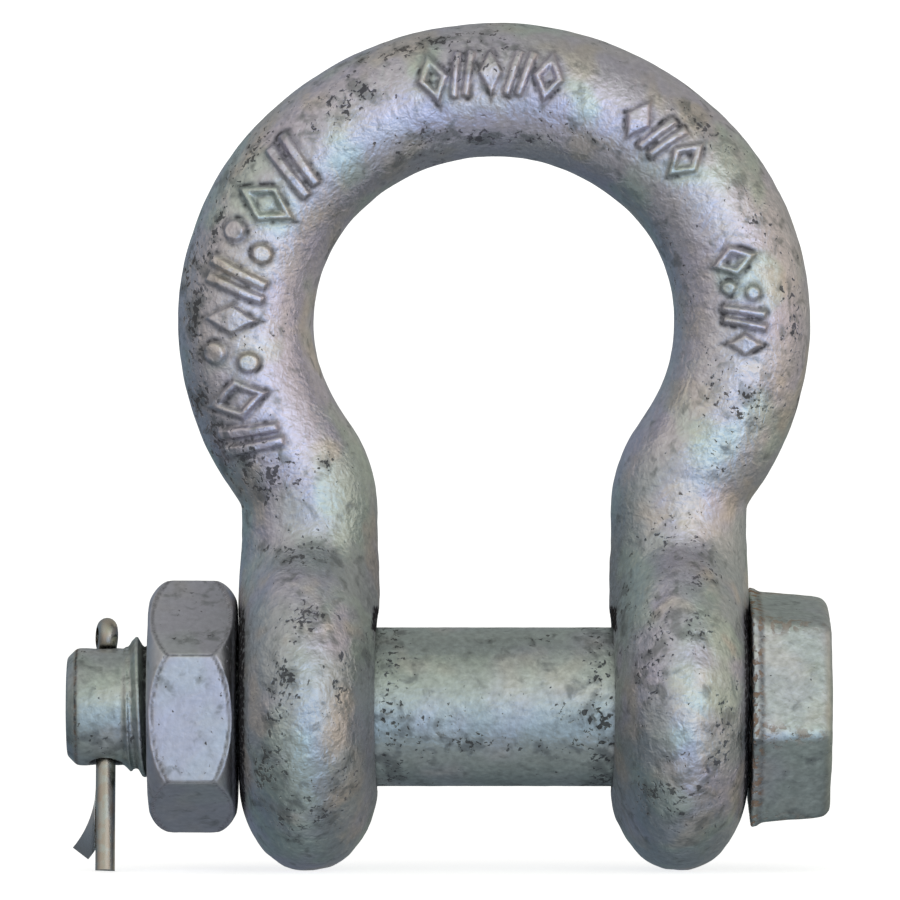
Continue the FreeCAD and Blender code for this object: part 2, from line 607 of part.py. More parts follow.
def nut_groove_corners():
    """Corners of the nut's groove, centred on the bolt's thread ridge and wider than it by the play."""
    slope = math.tan(math.radians(30))
    pitch, play = size("thread_pitch"), size("nut_flank_play")
    ridge = pitch - size("thread_root_flat")
    wide = (ridge - 2 * (size("nut_bore_radius") - size("thread_root_radius")) * slope) / 2 + play
    narrow = wide - (size("nut_groove_radius") - size("nut_bore_radius")) * slope
    under = "Dims.nut_bore_radius - Dims.nut_mouth_reach"
    mouth = wide + size("nut_mouth_reach") * slope
    bolt_start = -size("thread_start") + size("thread_lead_in")
    nut_foot = -size("nut_seat") - size("nut_height")
    level = (bolt_start - nut_foot + pitch / 2) % pitch - pitch
    return [
        ("MouthLow", under, f"{level:.4f} - {mouth:.4f}"),
        ("CrestLow", "Dims.nut_groove_radius", f"{level:.4f} - {narrow:.4f}"),
        ("CrestHigh", "Dims.nut_groove_radius", f"{level:.4f} + {narrow:.4f}"),
        ("MouthHigh", under, f"{level:.4f} + {mouth:.4f}"),
    ]


# ---------------------------------------------------------------- the split pin, modelled along its own +Z
def half_round(sketch, side, name="Wire"):
    """A D section: the flat faces the other leg, side is -1 for the front leg and 1 for the back one."""
    half, depth, gap = size("wire_half_width"), size("wire_thickness"), size("wire_gap") / 2
    radius = (half**2 + depth**2) / (2 * depth)
    centre = side * (gap + depth - radius)
    swing = math.atan2(half, radius - depth)
    circle = Part.Circle(V(0, centre, 0), V(0, 0, 1), radius)
    middle = side * math.pi / 2
    arc = sketch.addGeometry(Part.ArcOfCircle(circle, middle - swing, middle + swing), False)
    ends = (V(side * half, side * gap, 0), V(-side * half, side * gap, 0))
    flat = sketch.addGeometry(Part.LineSegment(ends[1], ends[0]), False)
    sketch.addConstraint(Sketcher.Constraint("Coincident", arc, 2, flat, 1))
    sketch.addConstraint(Sketcher.Constraint("Coincident", flat, 2, arc, 1))
    sketch.addConstraint(Sketcher.Constraint("Symmetric", flat, 1, flat, 2, -2))
    dimension(sketch, f"{name}Flat", "2 * Dims.wire_half_width", "Distance", flat, 2 * half)
    bulge = "(Dims.wire_half_width^2 + Dims.wire_thickness^2) / (2 * Dims.wire_thickness)"
    dimension(sketch, f"{name}Round", bulge, "Radius", arc, radius)
    level = ("DistanceY", -1, 1, flat, 1, side * gap)
    dimension(sketch, f"{name}Gap", f"{side} * Dims.wire_gap / 2", *level)
    return arc


def loop_path(body):
    """Line of the wire's flat side in the loop's plane: up one leg, round the eye, down to the bend."""
    sketch = new_sketch(body, "LoopPath", "YZ_Plane")
    gap, inside, neck = size("wire_gap") / 2, size("loop_inside_radius"), size("loop_neck_radius")
    neck_z, low, bend = size("loop_neck_height"), -size("leg_end"), -size("bend_start")
    eye_z = neck_z + math.sqrt((inside + neck) ** 2 - (gap + neck) ** 2)
    meet = math.atan2(eye_z - neck_z, gap + neck)
    turn_f = Part.Circle(V(-gap - neck, neck_z, 0), V(0, 0, 1), neck)
    turn_b = Part.Circle(V(gap + neck, neck_z, 0), V(0, 0, 1), neck)
    eye = Part.Circle(V(0, eye_z, 0), V(0, 0, 1), inside)
    leg = sketch.addGeometry(Part.LineSegment(V(-gap, low, 0), V(-gap, neck_z, 0)), False)
    out = sketch.addGeometry(Part.ArcOfCircle(turn_f, 0, meet), False)
    loop = sketch.addGeometry(Part.ArcOfCircle(eye, -meet, math.pi + meet), False)
    back = sketch.addGeometry(Part.ArcOfCircle(turn_b, math.pi - meet, math.pi), False)
    down = sketch.addGeometry(Part.LineSegment(V(gap, neck_z, 0), V(gap, bend, 0)), False)
    for constraint in (
        ("Vertical", leg),
        ("Vertical", down),
        ("Tangent", leg, 2, out, 1),
        ("Tangent", out, 2, loop, 2),
        ("Tangent", loop, 1, back, 1),
        ("Tangent", back, 2, down, 1),
        ("PointOnObject", loop, 3, -2),
        ("Equal", out, back),
    ):
        sketch.addConstraint(Sketcher.Constraint(*constraint))
    dimension(sketch, "EyeRadius", "Dims.loop_inside_radius", "Radius", loop, inside)
    dimension(sketch, "NeckRadius", "Dims.loop_neck_radius", "Radius", out, neck)
    place_point(sketch, leg, 1, "Front", "-Dims.wire_gap / 2", "-Dims.leg_end", (-gap, low))
    place_point(sketch, down, 2, "Back", "Dims.wire_gap / 2", "-Dims.bend_start", (gap, bend))
    dimension(sketch, "NeckHeight", "Dims.loop_neck_height", "DistanceY", -1, 1, leg, 2, neck_z)
    return sketch


def make_split_pin():
    body = new_body("split_pin")
    section = new_sketch(body, "FrontSection", "XY_Plane", "-Dims.leg_end")
    half_round(section, -1)
    path = loop_path(body)
    DOC.recompute()
    feature(body, "AdditivePipe", "LegsAndEye", Profile=section, Spine=(path, []))
    DOC.recompute()

    bend_section = new_sketch(body, "BendSection", "XY_Plane", "-Dims.bend_start")
    half_round(bend_section, 1)
    heading, radius = math.radians(180 - size("bend_heading")), size("bend_radius")
    foot = V(radius * math.cos(heading), radius * math.sin(heading), 0)
    along = V(-math.sin(heading), math.cos(heading), 0)
    spoke = bend_section.addGeometry(Part.LineSegment(V(0, 0, 0), foot), True)
    axis = bend_section.addGeometry(Part.LineSegment(foot, foot + along * 6), True)
    bend_section.addConstraint(Sketcher.Constraint("Coincident", spoke, 1, -1, 1))
    bend_section.addConstraint(Sketcher.Constraint("Coincident", spoke, 2, axis, 1))
    bend_section.addConstraint(Sketcher.Constraint("Perpendicular", spoke, axis))
    dimension(bend_section, "BendRadius", "Dims.bend_radius", "Distance", spoke, radius)
    dimension(bend_section, "AxisLength", "6", "Distance", axis, 6)
    lean = ("Angle", -1, 1, spoke, 1, heading)
    dimension(bend_section, "BendHeading", "180 deg - Dims.bend_heading * 1 deg", *lean)
    DOC.recompute()
    hinge_line = (bend_section, ["Axis1"])
    bend = feature(body, "Revolution", "SpreadLeg", Profile=bend_section, ReferenceAxis=hinge_line)
    bend.setExpression("Angle", "Dims.bend_angle * 1 deg")
    bend.Reversed = True
    DOC.recompute()
    turn = App.Rotation(V(1, 0, 0), size("bolt_turn")).multiply(App.Rotation(V(0, 0, 1), size("pin_turn")))
    body.Placement = App.Placement(V(-size("cross_hole_place"), 0, 0), turn)
    return body


# ---------------------------------------------------------------- build and write
def check_states():
    bad = [o.Label for o in DOC.Objects if {"Invalid", "Error"} & set(o.State)]
    if bad:
        raise SystemExit(f"objects failed: {bad}")


def main():
    parts = [make_bow(), make_bolt(), make_nut(), make_split_pin()]
    DOC.recompute()
    check_states()
    os.makedirs("parts", exist_ok=True)
    for part in parts:
        shape = part.Shape
        if shape.isNull() or not shape.isValid():
            raise SystemExit(f"{part.Label} has no valid shape")
        shape.exportStep(f"parts/{part.Label}.step")
        box = shape.BoundBox
        print(part.Label, "solids", len(shape.Solids), "volume", round(shape.Volume, 1), box)


main()
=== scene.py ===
"""The bow shackle's looks: a hot-dip galvanised forging with its bolt, nut and split pin.

The shackle's shapes are worked out in millimetres and turned to metres as each mesh is made. The
stage is in metres. +X runs along the bolt towards its head, +Z up to the crown of the bow, the bow
lies in the XZ plane, and the camera looks along +Y. An array of points, one to a row, is called p.
How far a point lies from the axis of the bolt or of the eye is called out.
"""

import math

import bmesh
import bpy
import numpy as np
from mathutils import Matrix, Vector


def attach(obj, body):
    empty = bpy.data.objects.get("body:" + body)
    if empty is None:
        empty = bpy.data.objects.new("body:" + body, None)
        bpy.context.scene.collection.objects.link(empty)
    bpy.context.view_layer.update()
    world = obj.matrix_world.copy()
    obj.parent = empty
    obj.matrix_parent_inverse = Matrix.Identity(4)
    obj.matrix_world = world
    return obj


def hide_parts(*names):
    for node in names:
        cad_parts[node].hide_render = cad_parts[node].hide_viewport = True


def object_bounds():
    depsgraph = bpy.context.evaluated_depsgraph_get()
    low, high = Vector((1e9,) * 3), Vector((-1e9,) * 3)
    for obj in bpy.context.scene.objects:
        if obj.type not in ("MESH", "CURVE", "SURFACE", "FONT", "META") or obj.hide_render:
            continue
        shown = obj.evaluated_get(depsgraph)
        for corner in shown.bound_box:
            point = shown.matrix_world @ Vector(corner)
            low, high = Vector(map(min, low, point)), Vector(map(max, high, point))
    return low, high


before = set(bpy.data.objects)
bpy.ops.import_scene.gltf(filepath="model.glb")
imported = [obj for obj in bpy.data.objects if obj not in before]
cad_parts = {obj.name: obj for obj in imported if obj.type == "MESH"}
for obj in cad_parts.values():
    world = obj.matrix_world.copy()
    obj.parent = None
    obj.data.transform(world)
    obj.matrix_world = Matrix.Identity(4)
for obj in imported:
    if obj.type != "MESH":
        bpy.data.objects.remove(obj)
cad_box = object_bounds()
MM = 0.001

# ================================================================ stage, camera and light
FLOOR = cad_box[0][2]
VIEW_WIDTH = 126.2 * MM
VIEW_CENTRE = Vector((-6.2 * MM, 0.0, 36.0 * MM))
CAMERA_DISTANCE = 1.25
SENSOR_WIDTH = 36.0
BOWL_RINGS = (0.4, 1.2, 2.6)
BOWL_SWEEP = 1.2
BOWL_HEIGHT = 3.4
BOWL_SIDES = 96


def new_object(name, data):
    made = bpy.data.objects.new(name, data)
    bpy.context.scene.collection.objects.link(made)
    return made


def make_camera():
    """A level camera straight in front, far enough back to flatten the view as a long lens does."""
    data = bpy.data.cameras.new("camera")
    data.sensor_width = SENSOR_WIDTH
    data.lens = SENSOR_WIDTH * CAMERA_DISTANCE / VIEW_WIDTH
    data.clip_start = 0.05
    data.clip_end = 50.0
    camera = new_object("camera", data)
    camera.location = VIEW_CENTRE + Vector((0, -CAMERA_DISTANCE, 0))
    camera.rotation_euler = (math.radians(90), 0, 0)
    bpy.context.scene.camera = camera


def empty_tree(owner):
    owner.use_nodes = True
    owner.node_tree.nodes.clear()
    return owner.node_tree


def maths(tree, operation, *values):
    """A maths node. Each value is a number or another node's output."""
    node = tree.nodes.new("ShaderNodeMath")
    node.operation = operation
    for slot, value in zip(node.inputs, values):
        if isinstance(value, (int, float)):
            slot.default_value = value
        else:
            tree.links.new(value, slot)
    return node.outputs[0]


def new_material(name):
    material = bpy.data.materials.new(name)
    tree = empty_tree(material)
    shader = tree.nodes.new("ShaderNodeBsdfPrincipled")
    output = tree.nodes.new("ShaderNodeOutputMaterial")
    tree.links.new(shader.outputs[0], output.inputs[0])
    return material, tree, shader


def bowl_mesh():
    """Rings of points round the origin, joined by squares."""
    last = BOWL_RINGS[-1]
    profile = [(radius, 0.0) for radius in BOWL_RINGS]
    turns = np.linspace(0, math.pi / 2, 13)[1:]
    profile += [(last + BOWL_SWEEP * math.sin(a), BOWL_SWEEP * (1 - math.cos(a))) for a in turns]
    profile.append((last + BOWL_SWEEP, BOWL_HEIGHT))
    sides = BOWL_SIDES
    around = np.linspace(0, 2 * math.pi, sides + 1)[:-1]
    verts = [(0, 0, FLOOR)]
    for radius, height in profile:
        verts += [(radius * math.cos(t), radius * math.sin(t), FLOOR + height) for t in around]
    faces = [(0, 1 + i, 1 + (i + 1) % sides) for i in range(sides)]
    for ring in range(len(profile) - 1):
        a, b = 1 + ring * sides, 1 + (ring + 1) * sides
        faces += [(a + i, b + i, b + (i + 1) % sides, a + (i + 1) % sides) for i in range(sides)]
    mesh = bpy.data.meshes.new("floor")
    mesh.from_pydata(verts, [], faces)
    mesh.shade_smooth()
    return mesh


def floor_white():
    """Matt white with a glow of its own, so that the floor stays pale in the dim room."""
    material, _, shader = new_material("floor_white")
    shader.inputs["Base Color"].default_value = (0.86, 0.86, 0.86, 1)
    shader.inputs["Roughness"].default_value = 0.9
    shader.inputs["Specular IOR Level"].default_value = 0.0
    shader.inputs["Emission Color"].default_value = (1, 1, 1, 1)
    shader.inputs["Emission Strength"].default_value = 0.72
    return material


def make_stage():
    """A white bowl: a flat floor that curves up into a wall all round, and gives nothing to reflections."""
    floor = new_object("floor", bowl_mesh())
    floor.data.materials.append(floor_white())
    floor.visible_glossy = False
    floor.visible_diffuse = False


# Broad soft lights of the studio. Each has a heading in degrees (0 in front of the shackle, 90 to its
# right), a height in degrees, a tightness, and its colour times its strength.
SOFT_LIGHTS = [
    (15, -18, 9.0, (0.06, 0.28, 0.60)),
    (25, 6, 8.0, (0.84, 0.80, 0.82)),
    (-35, 5, 7.0, (0.36, 0.35, 0.35)),
    (0, 40, 6.0, (0.33, 0.355, 0.26)),
    (-70, 35, 4.0, (0.38, 0.32, 0.27)),
    (75, 5, 5.0, (0.58, 0.48, 0.38)),
    (130, 10, 4.0, (0.24, 0.22, 0.17)),
    (-140, 10, 4.0, (0.04, 0.08, 0.13)),
    (0, 90, 3.0, (0.15, 0.15, 0.145)),
    (180, 45, 3.0, (0.15, 0.135, 0.11)),
    (0, -45, 4.0, (0.265, 0.22, 0.185)),
    (0, -88, 6.0, (0.14, 0.155, 0.16)),
]
ROOM_LIGHT = (0.082, 0.102, 0.122)


def add_soft_light(tree, direction, light, so_far):
    """Adds one soft light, which fades with the angle away from its middle."""
    heading, height, tightness, colour = light
    turn, rise = math.radians(heading), math.radians(height)
    facing = tree.nodes.new("ShaderNodeVectorMath")
    facing.operation = "DOT_PRODUCT"
    facing.inputs[1].default_value = (
        math.sin(turn) * math.cos(rise),
        -math.cos(turn) * math.cos(rise),
        math.sin(rise),
    )
    tree.links.new(direction, facing.inputs[0])
    angle = maths(tree, "MULTIPLY_ADD", facing.outputs["Value"], tightness, -tightness)
    total = tree.nodes.new("ShaderNodeVectorMath")
    total.operation = "MULTIPLY_ADD"
    total.inputs[1].default_value = colour
    tree.links.new(maths(tree, "EXPONENT", angle), total.inputs[0])
    tree.links.new(so_far, total.inputs[2])
    return total.outputs[0]


def make_world():
    """A dim, slightly blue room with broad tinted soft lights in it."""
    world = bpy.data.worlds.new("studio")
    bpy.context.scene.world = world
    tree = empty_tree(world)
    where = tree.nodes.new("ShaderNodeTexCoord")
    direction = tree.nodes.new("ShaderNodeVectorMath")
    direction.operation = "NORMALIZE"
    tree.links.new(where.outputs["Generated"], direction.inputs[0])
    room = tree.nodes.new("ShaderNodeRGB")
    room.outputs[0].default_value = (*ROOM_LIGHT, 1)
    total = room.outputs[0]
    for light in SOFT_LIGHTS:
        total = add_soft_light(tree, direction.outputs[0], light, total)
    background = tree.nodes.new("ShaderNodeBackground")
    tree.links.new(total, background.inputs["Color"])
    output = tree.nodes.new("ShaderNodeOutputWorld")
    tree.links.new(background.outputs[0], output.inputs[0])


# ================================================================ noise and smooth joins, for arrays
def lattice_noise(points, seed):
    """Smooth gradient noise of about -0.6 to 0.6, one feature to each unit of length."""
    rng = np.random.default_rng(seed)
    order = rng.permutation(256)
    slopes = rng.normal(size=(256, 3))
    slopes /= np.linalg.norm(slopes, axis=1)[:, None]
    cell = np.floor(points).astype(int)
    part = points - cell
    ease = part**3 * (part * (part * 6 - 15) + 10)
    total = np.zeros(len(points))
    for corner in np.ndindex(2, 2, 2):
        at = (cell + corner) & 255
        pick = order[(order[(order[at[:, 0]] + at[:, 1]) & 255] + at[:, 2]) & 255]
        weight = np.prod(np.where(corner, ease, 1 - ease), axis=1)
        total += weight * np.einsum("ij,ij->i", slopes[pick], part - corner)
    return total


def layered_noise(points, size, layers, seed):
    """Several layers of noise, each half the size and just over half the strength of the last."""
    total, strength = np.zeros(len(points)), 1.0
    for layer in range(layers):
        total += strength * lattice_noise(points * (2**layer / size), seed + layer)
        strength *= 0.55
    return total


def smooth_step(low, high, value):
    """Rises smoothly from 0 at low to 1 at high, or falls where high is the smaller."""
    t = np.clip((value - low) / (high - low), 0, 1)
    return t * t * (3 - 2 * t)


def smooth_min(a, b, width):
    """The smaller of two values, with the crease between them filled in."""
    ease = np.maximum(width - np.abs(a - b), 0) / width
    return np.minimum(a, b) - ease**3 * width / 6


def smooth_max(a, b, width):
    return -smooth_min(-a, -b, width)


def round_corner(a, b, radius):
    """Distance outside a corner of two faces that lie a radius beyond a = 0 and b = 0."""
    return np.hypot(np.maximum(a, 0), np.maximum(b, 0)) + np.minimum(np.maximum(a, b), 0) - radius


# ================================================================ the bow's form
# The bar, and its centreline for x > 0. A pair of heights is where a change starts and where it is full.
BAR_RADIUS = 9.5
CROWN_THINNING = 0.22
CROWN_HEIGHTS = (70.0, 86.0)
LEG_X = 25.87
BAR_FOOT = 16.0
NECK_RADIUS = 11.0
NECK_SLOPE = math.radians(33.7)
SIDE_RADIUS = 31.35
WIDEST = (34.8, 53.95)
CROWN_HEIGHT = 86.6

# The ears: their rims, their sides and where those end, and the eyes' bores.
EYE_HEIGHT = 0.85
EYE_RADIUS = 23.8
EYE_RIM = 9.3
EYE_RIM_DEPTH = 13.5
EYE_INNER = 16.1
EYE_OUTER = 35.62
NUT_SIDE_SWELL = 0.24
EYE_DRAFT = 0.035
EYE_DRAFT_START = 3.0
EYE_BLEND = 4.6
SIDE_BLEND = 0.6
SIDE_HEIGHTS = (26.0, 36.0)
BORE_RADIUS = 12.1
BORE_MOUTH = 1.5

SLOPE_STEP = 0.02


def bow_line():
    """The bar's centreline for x > 0: leg, knee arc, neck, side arc and crown arc, all tangent."""
    rise, side_x = CROWN_HEIGHT - WIDEST[1], WIDEST[0] - SIDE_RADIUS
    crown_radius = (rise**2 + side_x**2 - SIDE_RADIUS**2) / (2 * (rise - SIDE_RADIUS))
    crown_centre = CROWN_HEIGHT - crown_radius
    join = math.atan2(WIDEST[1] - crown_centre, side_x)
    side_end = (
        side_x + SIDE_RADIUS * math.cos(NECK_SLOPE),
        WIDEST[1] - SIDE_RADIUS * math.sin(NECK_SLOPE),
    )
    across = side_end[0] - LEG_X - NECK_RADIUS * (1 - math.cos(NECK_SLOPE))
    neck_end = (side_end[0] - across, side_end[1] - across / math.tan(NECK_SLOPE))
    leg_top = neck_end[1] - NECK_RADIUS * math.sin(NECK_SLOPE)
    runs = [((LEG_X, BAR_FOOT), (LEG_X, leg_top)), (neck_end, side_end)]
    arcs = [
        ((LEG_X + NECK_RADIUS, leg_top), NECK_RADIUS, math.pi - NECK_SLOPE, math.pi),
        ((side_x, WIDEST[1]), SIDE_RADIUS, -NECK_SLOPE, join),
        ((0.0, crown_centre), crown_radius, join, math.pi / 2),
    ]
    return runs, arcs


BOW_RUNS, BOW_ARCS = bow_line()
FAR = 1e3


def line_distance(x, z):
    """Distance in the bow's plane from the bar's centreline."""
    x = np.abs(x)
    nearest = np.full(len(x), FAR)
    for (ax, az), (bx, bz) in BOW_RUNS:
        dx, dz = bx - ax, bz - az
        t = np.clip(((x - ax) * dx + (z - az) * dz) / (dx * dx + dz * dz), 0, 1)
        nearest = np.minimum(nearest, np.hypot(x - ax - t * dx, z - az - t * dz))
    for (cx, cz), radius, low, high in BOW_ARCS:
        angle = np.arctan2(z - cz, x - cx)
        within = (angle >= low) & (angle <= high)
        nearest = np.where(within, np.minimum(nearest, np.abs(np.hypot(x - cx, z - cz) - radius)), nearest)
    return nearest


def bow_form(p):
    """Signed distance from the bow's surface: a round bar and two drafted, round-rimmed, bored ears."""
    x, y, z = p[:, 0], p[:, 1], p[:, 2]
    thinning = CROWN_THINNING * smooth_step(*CROWN_HEIGHTS, z)
    bar = np.hypot(line_distance(x, z), y) - (BAR_RADIUS - thinning)
    out = np.hypot(y, z - EYE_HEIGHT)
    inner = EYE_INNER + EYE_DRAFT * (np.hypot(y, EYE_DRAFT_START) - EYE_DRAFT_START)
    outer = EYE_OUTER + NUT_SIDE_SWELL * (x < 0)
    flank = np.abs(np.abs(x) - (inner + outer) / 2) - (outer - inner) / 2
    over = (out - EYE_RADIUS + EYE_RIM_DEPTH) * (EYE_RIM / EYE_RIM_DEPTH)
    ear = round_corner(over, flank + EYE_RIM, EYE_RIM)
    sides = flank - 30 * smooth_step(*SIDE_HEIGHTS, z)
    solid = smooth_max(smooth_min(bar, ear, EYE_BLEND), sides, SIDE_BLEND)
    return smooth_max(solid, BORE_RADIUS - out, BORE_MOUTH)


def slope_of(form, p):
    """Unit normals of a form, by differences."""
    n = np.empty_like(p)
    for axis in range(3):
        shift = np.zeros(3)
        shift[axis] = SLOPE_STEP
        n[:, axis] = form(p + shift) - form(p - shift)
    return n / np.maximum(np.linalg.norm(n, axis=1), 1e-9)[:, None]


def settle(form, p, rounds):
    """Moves points onto the form's surface."""
    for _ in range(rounds):
        p = p - slope_of(form, p) * form(p)[:, None]
    return p


def neighbour_mean(p, edges):
    """The mean place of each point's neighbours."""
    count = np.maximum(np.bincount(edges.ravel(), minlength=len(p)), 1)
    total = np.empty_like(p)
    for axis in range(3):
        total[:, axis] = np.bincount(edges[:, 0], p[edges[:, 1], axis], len(p))
        total[:, axis] += np.bincount(edges[:, 1], p[edges[:, 0], axis], len(p))
    return total / count[:, None]


def relax(form, p, edges, rounds):
    """Evens out the mesh within the form's surface."""
    for _ in range(rounds):
        shift = neighbour_mean(p, edges) - p
        n = slope_of(form, p)
        shift -= n * np.einsum("ij,ij->i", shift, n)[:, None]
        p = p + 0.6 * shift
        p = p - n * form(p)[:, None]
    return p


def read_points(mesh):
    """A mesh's points in millimetres."""
    flat = np.empty(len(mesh.vertices) * 3)
    mesh.vertices.foreach_get("co", flat)
    return flat.reshape(-1, 3) / MM


def write_points(mesh, p):
    mesh.vertices.foreach_set("co", (p * MM).ravel())
    mesh.update()


def read_edges(mesh):
    flat = np.empty(len(mesh.edges) * 2, dtype=np.int64)
    mesh.edges.foreach_get("vertices", flat)
    return flat.reshape(-1, 2)


def remeshed(mesh, voxel):
    """A copy of a mesh as an even net of small squares."""
    carrier = new_object("carrier", mesh)
    modifier = carrier.modifiers.new("net", "REMESH")
    modifier.mode = "VOXEL"
    modifier.voxel_size = voxel * MM
    bpy.context.view_layer.update()
    made = bpy.data.meshes.new_from_object(carrier.evaluated_get(bpy.context.evaluated_depsgraph_get()))
    bpy.data.objects.remove(carrier)
    return made


# ================================================================ forged marks on the front of the bow
MARK_CENTRE = 51.8
MARK_HEIGHT = 0.6
BAR_SLANT = math.radians(-14)
BAR_CORNER = 0.35
LOZENGE_LINE = 1.15


def slanting_bar(u, v, cu, w, h):
    """Distance outside a slanting bar. In these shapes u runs along the bow's bar and v out across it."""
    c, s = math.cos(BAR_SLANT), math.sin(BAR_SLANT)
    a = np.abs((u - cu) * c + v * s) - (w / 2 - BAR_CORNER)
    b = np.abs(-(u - cu) * s + v * c) - (h / 2 - BAR_CORNER)
    return round_corner(a, b, BAR_CORNER)


def solid_lozenge(u, v, cu, w, h):
    reach = np.abs(u - cu) / (w / 2) + np.abs(v) / (h / 2) - 1
    return reach * (w * h / 4) / math.hypot(w / 2, h / 2)


def hollow_lozenge(u, v, cu, w, h):
    q = solid_lozenge(u, v, cu, w, h)
    return np.maximum(q, -q - LOZENGE_LINE)


def slashes(u, v, cu, w, h):
    """Two parallel slanting bars."""
    shift, bar = w * 0.25, w * 0.34
    return np.minimum(slanting_bar(u, v, cu - shift, bar, h), slanting_bar(u, v, cu + shift, bar, h))


def studs(u, v, cu, w, h):
    """Two round studs on a slant."""
    low = np.hypot(u - cu + w * 0.2, v + h * 0.27)
    high = np.hypot(u - cu - w * 0.2, v - h * 0.27)
    return np.minimum(low, high) - w * 0.34


# Each group of marks: its middle in degrees from the crown, its radius from the bow's middle, and its
# shapes as (kind, place along the bar, width, height).
CROWN_MARKS = [
    (hollow_lozenge, -7.7, 4.6, 7.2),
    (slashes, -3.6, 3.6, 6.6),
    (solid_lozenge, 0.4, 3.6, 6.6),
    (slashes, 4.4, 3.6, 6.6),
    (hollow_lozenge, 8.5, 4.6, 7.2),
]
UPPER_RIGHT_MARKS = [
    (solid_lozenge, -4.4, 3.8, 6.4),
    (slashes, -0.2, 3.8, 6.4),
    (hollow_lozenge, 4.2, 4.8, 7.0),
]
RIGHT_MARKS = [
    (hollow_lozenge, -5.2, 4.6, 6.8),
    (studs, -1.0, 3.2, 5.8),
    (slashes, 2.8, 3.4, 6.2),
    (solid_lozenge, 6.6, 3.2, 5.0),
]
LEFT_MARKS = [
    (slashes, -20.4, 4.6, 8.4),
    (hollow_lozenge, -14.6, 5.8, 8.8),
    (studs, -8.8, 4.4, 8.4),
    (solid_lozenge, -3.4, 4.4, 7.4),
    (slashes, 2.0, 4.6, 8.6),
    (studs, 7.6, 4.4, 8.6),
    (hollow_lozenge, 13.6, 5.8, 9.0),
    (slashes, 20.0, 4.8, 8.6),
]
MARKS = [
    (-1.5, 36.8, CROWN_MARKS),
    (40.5, 36.2, UPPER_RIGHT_MARKS),
    (81.0, 34.9, RIGHT_MARKS),
    (-81.0, 36.7, LEFT_MARKS),
]


def mark_distance(p):
    """Distance outside the nearest forged mark, seen from the front. Far away behind the bow's middle."""
    x, z = p[:, 0], p[:, 2] - MARK_CENTRE
    radius, heading = np.hypot(x, z), np.degrees(np.arctan2(x, z))
    nearest = np.full(len(p), FAR)
    for middle, ring, shapes in MARKS:
        u, v = np.radians(heading - middle) * ring, radius - ring
        near = (np.abs(u) < 30) & (np.abs(v) < 8) & (p[:, 1] < -2)
        for kind, place, width, height in shapes:
            q = kind(u[near], v[near], place, width, height)
            nearest[near] = np.minimum(nearest[near], q)
    return nearest


# ================================================================ the bow's mesh
FIRST_VOXEL = 0.8
BOW_VOXEL = 0.64
MARK_CUTS = 2
SEAM_HEIGHT = 0.14
SEAM_WIDTH = 0.32
SEAM_RADIUS = 7.9
SEAM_MIDDLE = -13.9


def refine_marks(mesh):
    """Splits the faces round the marks, so that their edges are clean."""
    bm = bmesh.new()
    bm.from_mesh(mesh)
    bm.faces.ensure_lookup_table()
    centres = np.array([f.calc_center_median() for f in bm.faces]) / MM
    close = np.flatnonzero(mark_distance(centres) < 0.9)
    edges = {e for i in close for e in bm.faces[i].edges}
    bmesh.ops.subdivide_edges(bm, edges=list(edges), cuts=MARK_CUTS, use_grid_fill=True)
    bm.to_mesh(mesh)
    bm.free()


def flash_seam(p):
    """The trimmed seam low on each ear, as a fraction of its height."""
    x, z = p[:, 0] - np.sign(p[:, 0]) * LEG_X, p[:, 2] - SEAM_MIDDLE
    angle = np.degrees(np.arctan2(z, x))
    along = smooth_step(-108, -92, angle) * (1 - smooth_step(-32, -18, angle))
    return np.exp(-(((np.hypot(x, z) - SEAM_RADIUS) / SEAM_WIDTH) ** 2)) * along * (p[:, 1] < 0)


def bow_relief(p, marks):
    """Height of the forging's unevenness, its seam and its marks above the plain form."""
    x, z = p[:, 0], p[:, 2]
    out = np.hypot(p[:, 1], z - EYE_HEIGHT)
    clear_of_bore = np.minimum(smooth_step(13.0, 15.5, out) + smooth_step(16, 20, z), 1)
    outer_face = smooth_step(33.0, 34.8, np.abs(x)) * (z < 22)
    ears = 1 - smooth_step(16, 34, z)
    waves = 0.15 * layered_noise(p, 16.0, 2, 11) + (0.08 + 0.13 * ears) * layered_noise(p, 4.5, 3, 31)
    dents = -0.24 * smooth_step(0.28, 0.52, lattice_noise(p / 4.2, 57)) * (0.3 + 0.7 * ears)
    crinkle = (0.035 + 0.03 * ears) * layered_noise(p, 1.5, 1, 83)
    uneven = clear_of_bore * (1 - 0.9 * outer_face) * (waves + dents + crinkle)
    raised = MARK_HEIGHT * (1 - smooth_step(-0.45, 0.2, marks)) * (1 + 0.5 * lattice_noise(p / 2.1, 3))
    return uneven + raised + SEAM_HEIGHT * flash_seam(p)


